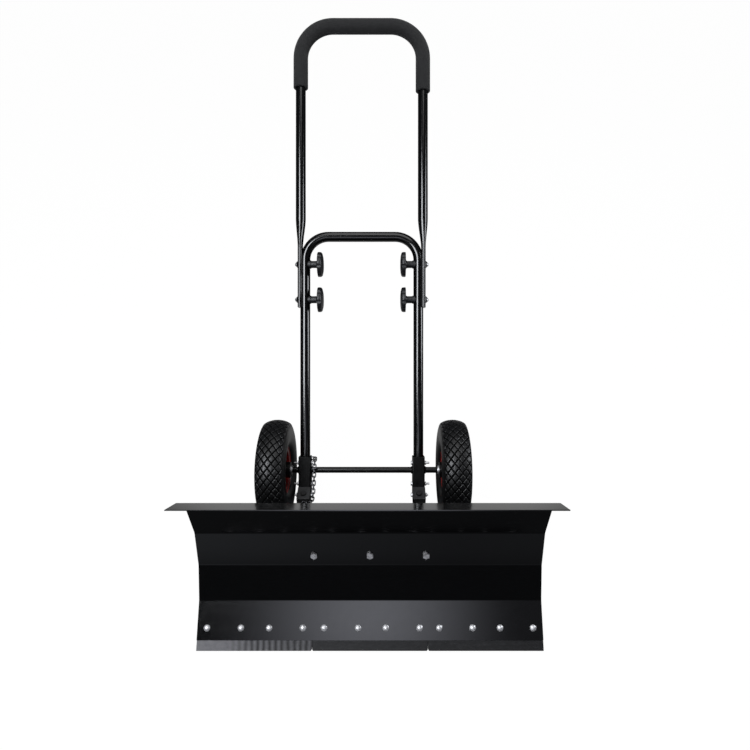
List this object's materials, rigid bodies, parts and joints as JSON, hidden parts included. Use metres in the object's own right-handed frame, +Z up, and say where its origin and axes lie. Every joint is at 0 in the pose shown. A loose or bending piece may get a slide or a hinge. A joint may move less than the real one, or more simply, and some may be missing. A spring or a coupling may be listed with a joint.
{
  "type": "wheeled snow shovel",
  "caption": "Wheeled snow pusher: curved steel blade with bolted wear strips on a swivel base, pneumatic wheels and a U-shaped handle with a foam grip.",
  "frame": {"origin": "on the ground, in the middle of the whole shovel's outline seen from above; the wheel axle's line is 155.7 mm from it towards the blade, and the handle's middle plane is 27 mm from it towards -X", "axes": "+Z up; the blade faces -Y and the handle leans towards +Y; +X to the right of somebody facing the blade"},
  "size_m": [0.74, 1.112, 1.0328],
  "materials": {
    "powder_black_gloss": "gloss black powder coat on the handle tubes and blade",
    "powder_black_matte": "matte black on sockets, arms, cross plate and sector plate",
    "bracket_grey": "dusty dark grey on the foot brackets",
    "zinc": "zinc plated fasteners, chain and staples",
    "rim_red": "gloss red enamel on the wheel rims",
    "tyre_rubber": "matte black tyre rubber",
    "tube_rubber": "butyl inner tube and valve stem",
    "strip_rubber": "dark grey speckled hard rubber wear strips",
    "foam": "black closed cell foam",
    "knob_plastic": "satin dark grey moulded plastic",
    "axle_steel": "black painted steel bar",
    "black_oxide": "blackened steel fasteners on the arms and clamp cups",
    "chain_steel": "dull dark plated chain and its staples",
    "bearing_seal": "sealed ball bearings, black seals in dark steel rings",
    "bush_brass": "plain turned brass"
  },
  "bodies": {
    "base": {"base_socket_left": "powder_black_matte", "base_socket_right": "powder_black_matte", "foot_bracket_left": "bracket_grey", "foot_bracket_right": "bracket_grey", "push_arm_left": "powder_black_matte", "push_arm_right": "powder_black_matte", "cross_plate": "powder_black_matte", "arm_bolts": "black_oxide", "arm_nuts": "black_oxide", "pivot_bolt": "zinc", "pivot_washers": "zinc", "pivot_nut": "zinc", "axle": "axle_steel", "axle_collars": "axle_steel", "axle_stop_rings": "zinc", "axle_washers": "zinc", "cotter_pins": "zinc", "lower_handle_frame": "powder_black_gloss", "socket_bolts": "zinc", "socket_nuts": "zinc", "handle_bolts": "zinc", "handle_washers": "black_oxide", "saddle_washers": "knob_plastic", "chain": "chain_steel", "chain_staples": "chain_steel"},
    "blade": {"blade_sheet": "powder_black_gloss", "wear_strip_left": "strip_rubber", "wear_strip_middle": "strip_rubber", "wear_strip_right": "strip_rubber", "strip_bolts": "zinc", "strip_nuts": "zinc", "sector_plate": "powder_black_matte", "sector_bolts": "zinc", "sector_nuts": "zinc", "pivot_bush": "bush_brass", "lock_pin_housing": "powder_black_matte"},
    "lock_pin": {"lock_pin": "zinc", "lock_pin_spring": "zinc"},
    "upper_handle": {"upper_handle": "powder_black_gloss", "foam_grip": "foam"},
    "wheel_left": {"tyre_left": "tyre_rubber", "inner_tube_left": "tube_rubber", "rim_outer_left": "rim_red", "rim_inner_left": "rim_red", "rim_fasteners_left": "zinc", "hub_left": "axle_steel", "bearings_left": "bearing_seal", "valve_stem_left": "tube_rubber"},
    "knob_lower_left": {"knob_lower_left": "knob_plastic"},
    "knob_upper_left": {"knob_upper_left": "knob_plastic"},
    "wheel_right": {"tyre_right": "tyre_rubber", "inner_tube_right": "tube_rubber", "rim_outer_right": "rim_red", "rim_inner_right": "rim_red", "rim_fasteners_right": "zinc", "hub_right": "axle_steel", "bearings_right": "bearing_seal", "valve_stem_right": "tube_rubber"},
    "knob_lower_right": {"knob_lower_right": "knob_plastic"},
    "knob_upper_right": {"knob_upper_right": "knob_plastic"}
  },
  "joints": [
    {"name": "blade_swivel", "type": "hinge", "parent": "base", "child": "blade", "pos_m": [-0.027, -0.2957, 0.112], "axis": [0, 0, 1], "range_deg": [-30, 30]},
    {"name": "lock_pin_slide", "type": "slide", "parent": "blade", "child": "lock_pin", "axis": [0, 0, 1], "range_m": [-0.01, 0], "deforming": ["lock_pin_spring"]},
    {"name": "handle_height", "type": "slide", "parent": "base", "child": "upper_handle", "axis": [0, 0.6157, 0.788], "range_m": [-0.03, 0]},
    {"name": "wheel_left_spin", "type": "hinge", "parent": "base", "child": "wheel_left", "pos_m": [-0.242, -0.1557, 0.127], "axis": [1, 0, 0], "continuous": true},
    {"name": "knob_lower_left_turn", "type": "hinge", "parent": "base", "child": "knob_lower_left", "pos_m": [-0.139, 0.11027, 0.46742], "axis": [1, 0, 0], "continuous": true},
    {"name": "knob_upper_left_turn", "type": "hinge", "parent": "base", "child": "knob_upper_left", "pos_m": [-0.139, 0.16531, 0.53787], "axis": [1, 0, 0], "continuous": true},
    {"name": "wheel_right_spin", "type": "hinge", "parent": "base", "child": "wheel_right", "pos_m": [0.204, -0.1557, 0.127], "axis": [1, 0, 0], "continuous": true},
    {"name": "knob_lower_right_turn", "type": "hinge", "parent": "base", "child": "knob_lower_right", "pos_m": [0.085, 0.11027, 0.46742], "axis": [1, 0, 0], "continuous": true},
    {"name": "knob_upper_right_turn", "type": "hinge", "parent": "base", "child": "knob_upper_right", "pos_m": [0.085, 0.16531, 0.53787], "axis": [1, 0, 0], "continuous": true}
  ]
}
